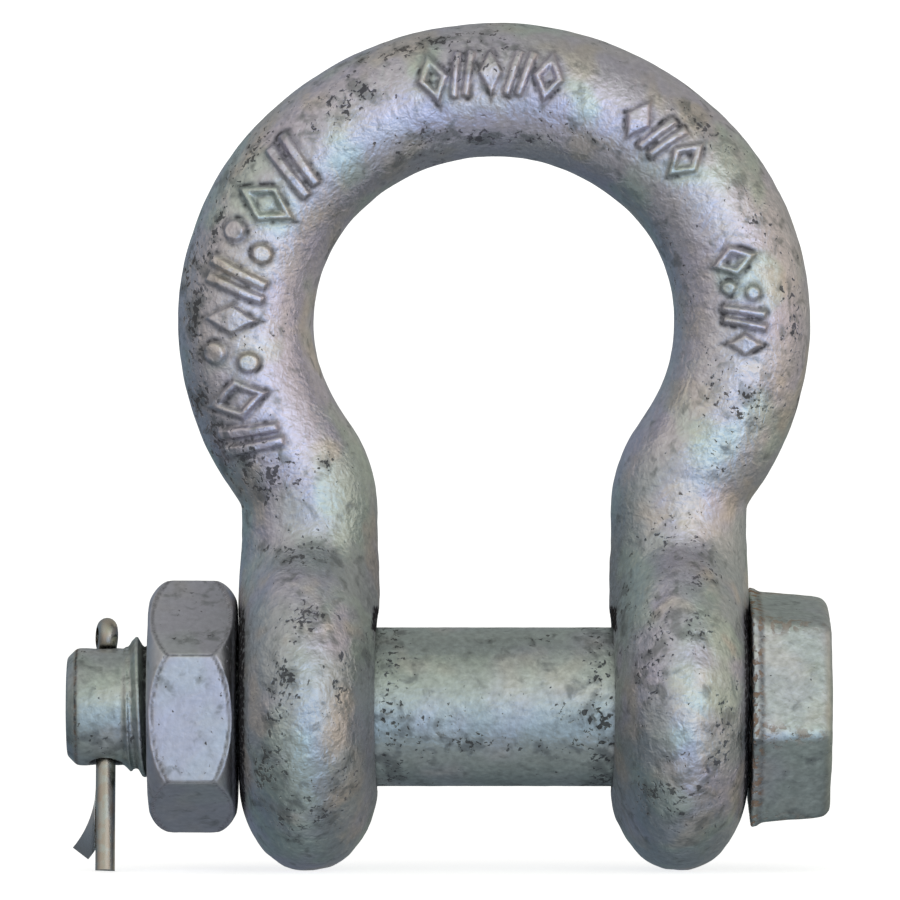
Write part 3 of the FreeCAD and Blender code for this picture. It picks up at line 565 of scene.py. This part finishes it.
# Patches where the zinc is pitted on the front: x, z, half length, half width, slope in degrees, strength.
WORN_PATCHES = [
    # the outside of the left limb, from its middle down and then up to the crown
    (-42.0, 56.0, 14.0, 1.8, 94, 1.1),
    (-39.5, 40.0, 9.0, 2.6, 118, 1.1),
    (-33.5, 33.0, 6.5, 4.0, 150, 1.1),
    (-24.0, 34.5, 4.0, 3.0, 100, 0.5),
    (-39.0, 66.0, 10.0, 1.2, 72, 0.9),
    (-34.5, 77.0, 8.0, 1.6, 50, 0.9),
    (-21.0, 84.5, 8.0, 3.2, 34, 0.9),
    # the crown, and down the right limb
    (-10.0, 92.5, 9.0, 1.2, 14, 1.2),
    (0.0, 79.5, 10.0, 1.0, 0, 1.1),
    (12.0, 80.0, 7.0, 1.4, -20, 0.5),
    (30.0, 80.0, 8.0, 2.0, -45, 0.7),
    (37.0, 68.0, 6.0, 2.5, -65, 0.5),
    (41.5, 55.0, 9.0, 1.8, 90, 0.8),
    (27.0, 57.0, 8.0, 2.0, 85, 0.35),
    (36.0, 44.0, 4.5, 2.5, 60, 0.7),
    (31.0, 35.0, 5.0, 2.5, 75, 0.6),
    (23.5, 24.0, 6.0, 3.0, 20, 0.6),
    (29.0, 19.0, 5.0, 3.0, 60, 0.7),
    # the left ear
    (-28.5, 22.0, 6.0, 2.5, 10, 0.8),
    (-25.5, 13.0, 4.0, 3.0, 20, 1.0),
    (-29.5, 3.0, 9.0, 2.6, 84, 1.0),
    (-31.5, -8.0, 6.0, 2.5, 75, 1.0),
    (-21.5, 4.0, 7.0, 1.6, 85, 0.6),
    (-25.0, -14.0, 4.0, 3.5, 20, 0.6),
    # the right ear
    (21.5, 6.0, 9.0, 2.4, 82, 1.0),
    (24.0, -11.0, 5.5, 3.5, 20, 1.1),
    (31.5, -3.0, 8.0, 1.8, 84, 0.8),
    (27.5, 11.0, 4.0, 2.5, 60, 0.7),
    (29.0, -15.0, 4.0, 3.0, 30, 0.7),
]


def bow_wear(p):
    """How pitted the zinc is, 0 to 1, in drifting patches all over and the listed ones on the front."""
    worn = 0.45 * smooth_step(0.15, 0.5, layered_noise(p, 12.0, 2, 71))
    front = smooth_step(1.0, -2.0, p[:, 1])
    drift = 0.75 + 0.9 * layered_noise(p, 3.2, 2, 97)
    for x, z, half_length, half_width, slope, strength in WORN_PATCHES:
        c, s = math.cos(math.radians(slope)), math.sin(math.radians(slope))
        along = ((p[:, 0] - x) * c + (p[:, 2] - z) * s) / half_length
        across = (-(p[:, 0] - x) * s + (p[:, 2] - z) * c) / half_width
        worn = np.maximum(worn, strength * front * np.exp(-(along**2) - across**2) * drift)
    return np.clip(worn, 0, 1)


def write_field(mesh, name, values):
    """Writes one value to each point, for the materials to read."""
    mesh.attributes.new(name, "FLOAT", "POINT").data.foreach_set("value", values)


def replace_node(mesh, name, node):
    """Stands the mesh in for one node of the CAD, riding on the same body."""
    mesh.shade_smooth()
    piece = new_object(name, mesh)
    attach(piece, node)
    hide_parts(node)
    return piece


def bow_net():
    """The plain form as an even net of small faces, finer round the marks, and its points."""
    mesh = remeshed(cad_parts["bow"].data.copy(), FIRST_VOXEL)
    write_points(mesh, settle(bow_form, read_points(mesh), 6))
    mesh = remeshed(mesh, BOW_VOXEL)
    p = settle(bow_form, read_points(mesh), 3)
    write_points(mesh, relax(bow_form, p, read_edges(mesh), 6))
    refine_marks(mesh)
    p = settle(bow_form, read_points(mesh), 2)
    return mesh, relax(bow_form, p, read_edges(mesh), 2)


def bow_grime_and_shade(p, marks):
    """Dirt round the marks; painted shade in the eyes, on the ears' sides and in the gap over the bolt."""
    side, z = np.abs(p[:, 0]), p[:, 2]
    out = np.hypot(p[:, 1], z - EYE_HEIGHT)
    speckle = 0.4 + 0.6 * smooth_step(-0.15, 0.3, layered_noise(p, 2.4, 2, 5))
    crevice = 0.95 * np.exp(-(((marks - 0.25) / 0.4) ** 2)) * speckle
    # Painted shade: the bore, the ears' sides by the nut and head, their inner flanks, the gap over the
    # bolt.
    inside_eye = smooth_step(13.4, 12.4, out) * smooth_step(22.0, 19.0, z)
    outer_side = 1.3 * smooth_step(33.9, 35.1, side) * smooth_step(16.5, 12.5, np.abs(z))
    inner_side = 0.5 * smooth_step(20.5, 16.6, side) * smooth_step(32.0, 18.0, z)
    gap = 1.5 * smooth_step(17.5, 17.0, side) * smooth_step(16.5, 14.8, out) * (p[:, 1] < -3)
    gap *= smooth_step(2.2, 1.4, np.abs(z - 12.4))
    return np.maximum.reduce([crevice, inside_eye, outer_side, inner_side, gap])


def make_bow():
    mesh, p = bow_net()
    marks = mark_distance(p)
    write_points(mesh, p + slope_of(bow_form, p) * bow_relief(p, marks)[:, None])
    write_field(mesh, "grime_and_shade", bow_grime_and_shade(p, marks))
    write_field(mesh, "wear", bow_wear(p))
    write_field(mesh, "cool", smooth_step(42.0, 24.0, p[:, 2] + 12 * layered_noise(p, 9.0, 2, 131)))
    return replace_node(mesh, "bow_forging", "bow")


# ================================================================ the bolt and nut, softened by their zinc
BOLT_VOXEL = 0.36
HEAD_SEAT = 35.75
SHANK_END = -33.0
THREAD_END = -53.0
PIN_HOLE = -54.4
PIN_HOLE_TILT = math.radians(12)
TIP_RIM = -58.5
THREAD_CREST = 9.95
THREAD_ROOT = 8.5
THREAD_PLAY = 0.08

NUT_VOXEL = 0.30
NUT_FACE = -36.0
NUT_BORE = 10.6
NUT_CHAMFER_START = 14.6
NUT_CORNER = 17.9
NUT_SWELL = 0.5


def cad_net(node, voxel):
    """The node's own surface as an even net of small faces."""
    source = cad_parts[node]
    net = new_object("net", remeshed(source.data.copy(), voxel))
    wrap = net.modifiers.new("wrap", "SHRINKWRAP")
    wrap.target = source
    wrap.wrap_method = "NEAREST_SURFACEPOINT"
    bpy.context.view_layer.update()
    made = bpy.data.meshes.new_from_object(net.evaluated_get(bpy.context.evaluated_depsgraph_get()))
    bpy.data.objects.remove(net)
    return made


def soften(p, edges, free, rounds):
    """Rounds off corners where free is 1 and leaves the rest."""
    for _ in range(rounds):
        p = p + (0.5 * free)[:, None] * (neighbour_mean(p, edges) - p)
    return p


def read_normals(mesh):
    flat = np.empty(len(mesh.vertices) * 3)
    mesh.vertices.foreach_get("normal", flat)
    return flat.reshape(-1, 3)


def cut_back(mesh, sharp):
    """How far softening has moved each point off the sharp surface."""
    return np.abs(np.einsum("ij,ij->i", read_points(mesh) - sharp, read_normals(mesh)))


def bolt_relief(p, x, head, stub):
    """Height of the head's lumps and the fine ripples elsewhere, less the play in the thread."""
    shank = smooth_step(SHANK_END, SHANK_END + 1, x) * smooth_step(HEAD_SEAT - 0.6, HEAD_SEAT - 1.4, x)
    lumps = 0.16 * layered_noise(p, 8.0, 2, 211) + 0.06 * layered_noise(p, 2.4, 2, 223)
    ripples = 0.035 * layered_noise(p, 3.0, 3, 229) - 0.012
    play = THREAD_PLAY * smooth_step(THREAD_END + 0.4, THREAD_END + 0.8, x) * (x < NUT_FACE - 0.5)
    return head * lumps + (shank + 0.6 * stub) * ripples - play


def tip_rim(x, out):
    """The edge of the chamfer at the bolt's tip."""
    return np.exp(-(((x - TIP_RIM) / 0.25) ** 2)) * (out > 7.4)


def bolt_grime_and_shade(p, x, out):
    """Painted shade in the thread, the pin's hole and by the nut; dark lines round the tip and under the
    head.
    """
    # Painted shade in the roots of the thread.
    groove = smooth_step(THREAD_CREST - 0.2, THREAD_ROOT, out)
    groove *= smooth_step(THREAD_END + 2.5, THREAD_END + 3, x)
    groove *= smooth_step(SHANK_END - 0.4, SHANK_END - 1, x)
    aside = p[:, 1] * math.cos(PIN_HOLE_TILT) - p[:, 2] * math.sin(PIN_HOLE_TILT)
    # Painted shade in the pin's hole.
    hole = smooth_step(2.6, 2.1, np.hypot(x - PIN_HOLE, aside))
    seat = 0.7 * np.exp(-(((x - HEAD_SEAT - 1.3) / 0.3) ** 2)) * (out > 13)
    # Painted shade on the shank inside the nut and in the gap by the ear.
    by_nut = smooth_step(NUT_FACE - 1.5, NUT_FACE - 1, x) * smooth_step(SHANK_END + 0.4, SHANK_END - 0.2, x)
    return np.maximum.reduce([groove, tip_rim(x, out), hole, seat, by_nut])


def bolt_rust(x, out):
    """Rust on the head's seat and corners, and a little round the tip."""
    seat = 0.8 * smooth_step(HEAD_SEAT + 2.2, HEAD_SEAT + 0.7, x) * (x > HEAD_SEAT)
    corners = 0.5 * smooth_step(15.6, 16.4, out) * (x > HEAD_SEAT)
    return np.maximum.reduce([seat, corners, 0.3 * tip_rim(x, out)])


def bolt_wear(p, x):
    """Pits in a row low on the front of the shank, beside the ears, and in drifts all over."""
    row = 0.9 * np.exp(-(((p[:, 2] + 4.8) / 1.7) ** 2)) * (0.5 + 1.2 * layered_noise(p, 6.0, 2, 239))
    beside_ears = 0.7 * np.exp(-(((np.abs(x) - 14.5) / 2.2) ** 2))
    drifts = 0.5 * smooth_step(0.0, 0.5, layered_noise(p, 7.0, 2, 241))
    return np.clip(np.maximum(row * (p[:, 1] < 0), (beside_ears + drifts) * (x < HEAD_SEAT)), 0, 1)


def part_off_head(mesh):
    """Gives the faces of the head the second material."""
    centres = np.empty(len(mesh.polygons) * 3)
    mesh.polygons.foreach_get("center", centres)
    on_head = centres[::3] > (HEAD_SEAT + 0.1) * MM
    mesh.polygons.foreach_set("material_index", on_head.astype(np.int32))


def make_bolt():
    mesh = cad_net("bolt", BOLT_VOXEL)
    sharp = read_points(mesh)
    x, out = sharp[:, 0], np.hypot(sharp[:, 1], sharp[:, 2])
    head = smooth_step(HEAD_SEAT + 0.3, HEAD_SEAT + 0.9, x)
    stub = smooth_step(THREAD_END, THREAD_END - 1, x)
    p = soften(sharp, read_edges(mesh), np.maximum(head, 0.5 * stub), 7)
    write_points(mesh, p)
    # Dark lines along the head's softened edges.
    outlines = 0.55 * head * smooth_step(0.04, 0.12, cut_back(mesh, sharp))
    write_points(mesh, p + read_normals(mesh) * bolt_relief(p, x, head, stub)[:, None])
    write_field(mesh, "grime_and_shade", np.maximum(bolt_grime_and_shade(p, x, out), outlines))
    write_field(mesh, "rust", bolt_rust(x, out))
    write_field(mesh, "wear", bolt_wear(p, x))
    part_off_head(mesh)
    return replace_node(mesh, "bolt_forging", "bolt")


def nut_relief(p, x, out, n):
    """Height of the nut's lumps, away from the face by the ear, and of the swell of its chamfers."""
    lumps = 0.05 * layered_noise(p, 6.0, 2, 307) + 0.03 * layered_noise(p, 2.0, 2, 311) - 0.02
    away = smooth_step(NUT_FACE - 0.15, NUT_FACE - 0.8, x)
    slant = np.abs(n[:, 0])
    chamfer = smooth_step(0.35, 0.55, slant) * smooth_step(0.95, 0.85, slant)
    across = np.clip((out - NUT_CHAMFER_START) / (NUT_CORNER - NUT_CHAMFER_START), 0, 1)
    return away * lumps + 4 * NUT_SWELL * across * (1 - across) * chamfer


def make_nut():
    mesh = cad_net("nut", NUT_VOXEL)
    sharp = read_points(mesh)
    x, out = sharp[:, 0], np.hypot(sharp[:, 1], sharp[:, 2])
    outside = smooth_step(11.2, 12.0, out)
    p = soften(sharp, read_edges(mesh), outside, 6)
    write_points(mesh, p)
    # Dark lines along the nut's softened edges.
    outlines = 0.7 * smooth_step(0.03, 0.10, cut_back(mesh, sharp))
    n = read_normals(mesh)
    height = outside * nut_relief(p, x, out, n) - THREAD_PLAY * (out < NUT_BORE)
    write_points(mesh, p + n * height[:, None])
    # Painted shade in the threaded bore and on the face against the ear.
    thread = smooth_step(NUT_BORE, NUT_BORE - 0.6, out)
    by_ear = 0.9 * smooth_step(NUT_FACE - 0.9, NUT_FACE - 0.1, x) * (out > 13)
    write_field(mesh, "grime_and_shade", np.maximum.reduce([thread, by_ear, outlines]))
    write_field(mesh, "wear", 0.5 * smooth_step(0.0, 0.5, layered_noise(p, 5.0, 2, 331)))
    return replace_node(mesh, "nut_forging", "nut")


# ================================================================ materials
def millimetres(tree, stretch=(1.0, 1.0, 1.0)):
    """Place on the object in millimetres."""
    where = tree.nodes.new("ShaderNodeTexCoord")
    scale = tree.nodes.new("ShaderNodeVectorMath")
    scale.operation = "MULTIPLY"
    scale.inputs[1].default_value = tuple(s / MM for s in stretch)
    tree.links.new(where.outputs["Object"], scale.inputs[0])
    return scale.outputs[0]


def noise(tree, where, size, detail=2.0, distortion=0.0):
    """Noise of about 0.3 to 0.7, one feature to each size in millimetres."""
    node = tree.nodes.new("ShaderNodeTexNoise")
    node.inputs["Scale"].default_value = 1 / size
    node.inputs["Detail"].default_value = detail
    node.inputs["Distortion"].default_value = distortion
    tree.links.new(where, node.inputs["Vector"])
    return node.outputs[0]


def step(tree, value, low, high):
    """Rises smoothly from 0 at low to 1 at high."""
    node = tree.nodes.new("ShaderNodeMapRange")
    node.interpolation_type = "SMOOTHSTEP"
    node.inputs["From Min"].default_value = low
    node.inputs["From Max"].default_value = high
    tree.links.new(value, node.inputs["Value"])
    return node.outputs[0]


def blend(tree, amount, under, over, mode="MIX"):
    """Lays one colour over another. Each is a tuple or another node's output."""
    node = tree.nodes.new("ShaderNodeMix")
    node.data_type = "RGBA"
    node.blend_type = mode
    if isinstance(amount, float):
        node.inputs[0].default_value = amount
    else:
        tree.links.new(amount, node.inputs[0])
    for slot, colour in ((node.inputs[6], under), (node.inputs[7], over)):
        if isinstance(colour, tuple):
            slot.default_value = (*colour, 1)
        else:
            tree.links.new(colour, slot)
    return node.outputs[2]


def field(tree, name):
    """A value written on the mesh's points, or 0 where there is none."""
    node = tree.nodes.new("ShaderNodeAttribute")
    node.attribute_name = name
    return node.outputs["Fac"]


def grey(tree, value):
    node = tree.nodes.new("ShaderNodeCombineColor")
    for slot in node.inputs:
        tree.links.new(value, slot)
    return node.outputs[0]


def bump(tree, height):
    """Normals of a height in millimetres."""
    node = tree.nodes.new("ShaderNodeBump")
    node.inputs["Strength"].default_value = 1.0
    node.inputs["Distance"].default_value = MM
    tree.links.new(height, node.inputs["Height"])
    return node.outputs[0]


LAVENDER = (0.68, 0.65, 0.77)
GREEN = (0.62, 0.72, 0.65)
BEIGE = (0.74, 0.68, 0.61)
DULL_TEAL = (0.22, 0.24, 0.24)
COOL_GREY = (0.53, 0.585, 0.605)
# The black of the pits, also painted as shade in gaps and bores.
PIT_AND_SHADE_BLACK = (0.035, 0.033, 0.035)
RUST = (0.30, 0.17, 0.085)
WARM_STEEL = (0.50, 0.45, 0.38)
PLAIN_STEEL = (0.50, 0.52, 0.48)
# Painted shade on the split pin's spread leg.
SPREAD_LEG_SHADE = (0.17, 0.16, 0.14)

# Drifts of tint over the zinc: the drift's size, where it starts and is full, and its colour.
TINTS = [
    (15.0, 0.46, 0.62, LAVENDER),
    (11.0, 0.50, 0.64, GREEN),
    (8.0, 0.52, 0.68, BEIGE),
]

# Each zinc's tone, its roughness, and how strong its grain, pits, tints, smudges and clouds are.
ZINCS = {
    "bow": dict(
        tone=(0.69, 0.67, 0.71), rough=0.34, grain=1.25, pits=1.0, tint=0.75, smudge=0.65, clouds=0.55
    ),
    "bolt": dict(
        tone=(0.49, 0.55, 0.525), rough=0.41, grain=0.6, pits=0.75, tint=0.3, smudge=0.7, clouds=0.8
    ),
    "head": dict(
        tone=(0.67, 0.71, 0.66), rough=0.52, grain=0.7, pits=0.8, tint=0.3, smudge=0.7, clouds=0.8
    ),
    "nut": dict(
        tone=(0.61, 0.61, 0.67), rough=0.45, grain=0.35, pits=0.6, tint=0.25, smudge=0.6, clouds=0.4
    ),
}


def tinted(tree, where, tone, tint, clouds):
    """The clean zinc's colour: its tone, cooler low on the bow, with drifts of tint and small clouds."""
    colour = blend(tree, maths(tree, "MULTIPLY", field(tree, "cool"), 0.85), tone, COOL_GREY)
    for size, low, high, drift in TINTS:
        amount = maths(tree, "MULTIPLY", step(tree, noise(tree, where, size), low, high), tint)
        colour = blend(tree, amount, colour, drift)
    cloud = maths(tree, "MULTIPLY_ADD", noise(tree, where, 0.9, 3.0), clouds, 1.0 - 0.5 * clouds)
    return blend(tree, 1.0, colour, grey(tree, cloud), "MULTIPLY")


def smudges(tree, where, wear, smudge):
    """Dull patches a few millimetres across, more of them where the zinc is worn."""
    spread = maths(tree, "MULTIPLY_ADD", wear, 0.19, noise(tree, where, 2.4, 4.0, 0.4))
    return maths(tree, "MULTIPLY", step(tree, spread, 0.56, 0.76), smudge)


def flecks(tree, where, wear, pits):
    """Small sharp-edged pits, most of them where the zinc is worn."""
    spread = maths(tree, "MULTIPLY_ADD", wear, 0.25 * pits, noise(tree, where, 0.75, 3.5, 0.4))
    return step(tree, spread, 0.70, 0.775)


def cracks(tree, where, wear, pits):
    """Thin broken lines, the wavy edges of small cells."""
    wobble = tree.nodes.new("ShaderNodeTexNoise")
    wobble.inputs["Scale"].default_value = 1 / 1.3
    tree.links.new(where, wobble.inputs["Vector"])
    bent = tree.nodes.new("ShaderNodeVectorMath")
    bent.operation = "ADD"
    tree.links.new(where, bent.inputs[0])
    tree.links.new(wobble.outputs["Color"], bent.inputs[1])
    cells = tree.nodes.new("ShaderNodeTexVoronoi")
    cells.feature = "DISTANCE_TO_EDGE"
    cells.inputs["Scale"].default_value = 1 / 2.6
    tree.links.new(bent.outputs[0], cells.inputs["Vector"])
    thin = step(tree, cells.outputs["Distance"], 0.075, 0.02)
    spread = maths(tree, "MULTIPLY_ADD", wear, 0.20 * pits, noise(tree, where, 2.3, 2.0))
    return maths(tree, "MULTIPLY", thin, step(tree, spread, 0.70, 0.86))


def patchy_grime_and_shade(tree, where):
    """The grime and painted shade written on the mesh, made patchy."""
    patchy = maths(tree, "MULTIPLY_ADD", step(tree, noise(tree, where, 0.7, 2.0), 0.3, 0.6), 0.45, 0.55)
    return maths(tree, "MULTIPLY", patchy, field(tree, "grime_and_shade"))


def zinc_roughness(tree, where, rough, dull, dark):
    """Duller low on the bow, on smudges and most of all where the zinc is dark."""
    shine = maths(tree, "MULTIPLY_ADD", noise(tree, where, 2.2, 2.0), 0.18, rough - 0.09)
    shine = maths(tree, "MULTIPLY_ADD", field(tree, "cool"), 0.07, shine)
    shine = maths(tree, "MULTIPLY_ADD", dull, 0.15, shine)
    return maths(tree, "MULTIPLY_ADD", dark, 0.3, shine)


def zinc_grain(tree, where, grain, dark):
    """Height of the zinc's fine and medium grain, sunk where pits, rust and painted shade darken it."""
    fine = maths(tree, "MULTIPLY", noise(tree, where, 0.62, 1.5, 0.3), 0.085 * grain)
    medium = maths(tree, "MULTIPLY", noise(tree, where, 1.9, 2.0, 0.6), 0.17 * grain)
    return maths(tree, "MULTIPLY_ADD", dark, -0.10, maths(tree, "ADD", fine, medium))


def galvanised(name, tone, rough, grain, pits, tint, smudge, clouds):
    """Weathered hot-dip zinc: a mottled grey skin, fine grain, dull smudges, dark pits, rust, painted
    shade.
    """
    material, tree, shader = new_material(name)
    where = millimetres(tree)
    wear = field(tree, "wear")
    dull = smudges(tree, where, wear, smudge)
    broken = maths(tree, "MAXIMUM", flecks(tree, where, wear, pits), cracks(tree, where, wear, pits))
    spots = maths(tree, "MULTIPLY", broken, 0.8)
    # Black where the zinc is pitted or dirty, and where shade is painted in gaps and bores.
    pits_and_shade = maths(tree, "MINIMUM", maths(tree, "MAXIMUM", spots, patchy_grime_and_shade(tree, where)), 1.0)
    speckled = step(tree, noise(tree, where, 1.1, 3.0), 0.50, 0.60)
    rusty = maths(tree, "MULTIPLY", speckled, field(tree, "rust"))
    dark = maths(tree, "MAXIMUM", pits_and_shade, rusty)
    colour = blend(tree, dull, tinted(tree, where, tone, tint, clouds), DULL_TEAL)
    colour = blend(tree, rusty, blend(tree, pits_and_shade, colour, PIT_AND_SHADE_BLACK), RUST)
    tree.links.new(colour, shader.inputs["Base Color"])
    # Where pits, rust and painted shade darken it, the zinc loses its metal and its gloss.
    tree.links.new(maths(tree, "SUBTRACT", 1.0, dark), shader.inputs["Metallic"])
    tree.links.new(maths(tree, "MULTIPLY_ADD", dark, -0.5, 0.5), shader.inputs["Specular IOR Level"])
    tree.links.new(zinc_roughness(tree, where, rough, dull, dark), shader.inputs["Roughness"])
    tree.links.new(bump(tree, zinc_grain(tree, where, grain, dark)), shader.inputs["Normal"])
    return material


def bare_steel(name):
    """Bright drawn wire, with painted shade darkening the leg that is spread."""
    material, tree, shader = new_material(name)
    where = millimetres(tree)
    colour = blend(tree, step(tree, noise(tree, where, 1.6), 0.42, 0.62), WARM_STEEL, PLAIN_STEEL)
    apart = tree.nodes.new("ShaderNodeSeparateXYZ")
    tree.links.new(where, apart.inputs[0])
    # Painted shade: the leg that is spread is darkened.
    shaded_leg = step(tree, apart.outputs["X"], PIN_HOLE - 1.4, PIN_HOLE - 1.7)
    tree.links.new(blend(tree, shaded_leg, colour, SPREAD_LEG_SHADE), shader.inputs["Base Color"])
    shader.inputs["Metallic"].default_value = 1.0
    drawn = millimetres(tree, (3.0, 3.0, 0.15))
    shine = maths(tree, "MULTIPLY_ADD", noise(tree, drawn, 0.5), 0.2, 0.14)
    tree.links.new(shine, shader.inputs["Roughness"])
    scratches = maths(tree, "MULTIPLY", noise(tree, drawn, 0.4), 0.02)
    tree.links.new(bump(tree, scratches), shader.inputs["Normal"])
    return material


make_camera()
make_stage()
make_world()
bpy.context.scene.view_settings.view_transform = "Standard"
bow, bolt, nut = make_bow(), make_bolt(), make_nut()
skins = {part: galvanised("zinc_" + part, **look) for part, look in ZINCS.items()}
skins["split_pin"] = bare_steel("bare_steel")
for piece, skin in ((bow, "bow"), (bolt, "bolt"), (nut, "nut")):
    piece.data.materials.clear()
    piece.data.materials.append(skins[skin])
bolt.data.materials.append(skins["head"])
for name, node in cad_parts.items():
    node.data.materials.clear()
    node.data.materials.append(skins[name])
